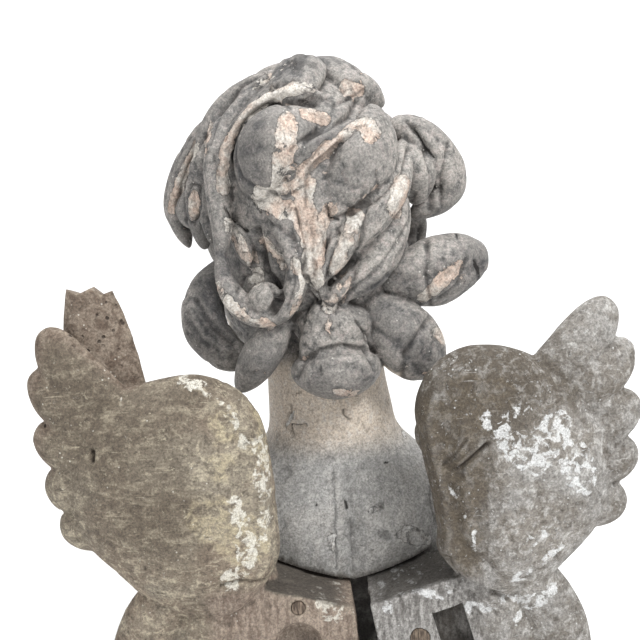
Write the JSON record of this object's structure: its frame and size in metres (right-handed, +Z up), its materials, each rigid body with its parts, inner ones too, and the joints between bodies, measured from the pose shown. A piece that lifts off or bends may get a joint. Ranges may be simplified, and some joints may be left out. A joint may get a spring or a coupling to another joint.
{
  "type": "winged putto bust",
  "caption": "Carved and painted wooden bust of a winged putto, cut flat below, with separately carved wings pegged to a flat seat in its back.",
  "frame": {"origin": "in the flat underside, below the neck", "axes": "+X to the figure's left, along the span of the wings; +Y behind the figure, which faces -Y; +Z up, away from the flat underside"},
  "size_m": [0.3129, 0.1837, 0.3529],
  "materials": {
    "bust_paint": "dull grey paint over white and pink gesso, flaking from carved wood",
    "left_wing_paint": "worn beige-grey paint with chalky and yellowed patches",
    "right_wing_paint": "worn grey paint with chalky white patches and brown stains",
    "left_peg_wood": "bare aged end grain",
    "right_peg_wood": "bare aged end grain"
  },
  "bodies": {
    "root": {"putto_bust": "bust_paint", "left_wing": "left_wing_paint", "right_wing": "right_wing_paint", "left_wing_peg": "left_peg_wood", "right_wing_peg": "right_peg_wood"}
  },
  "joints": []
}
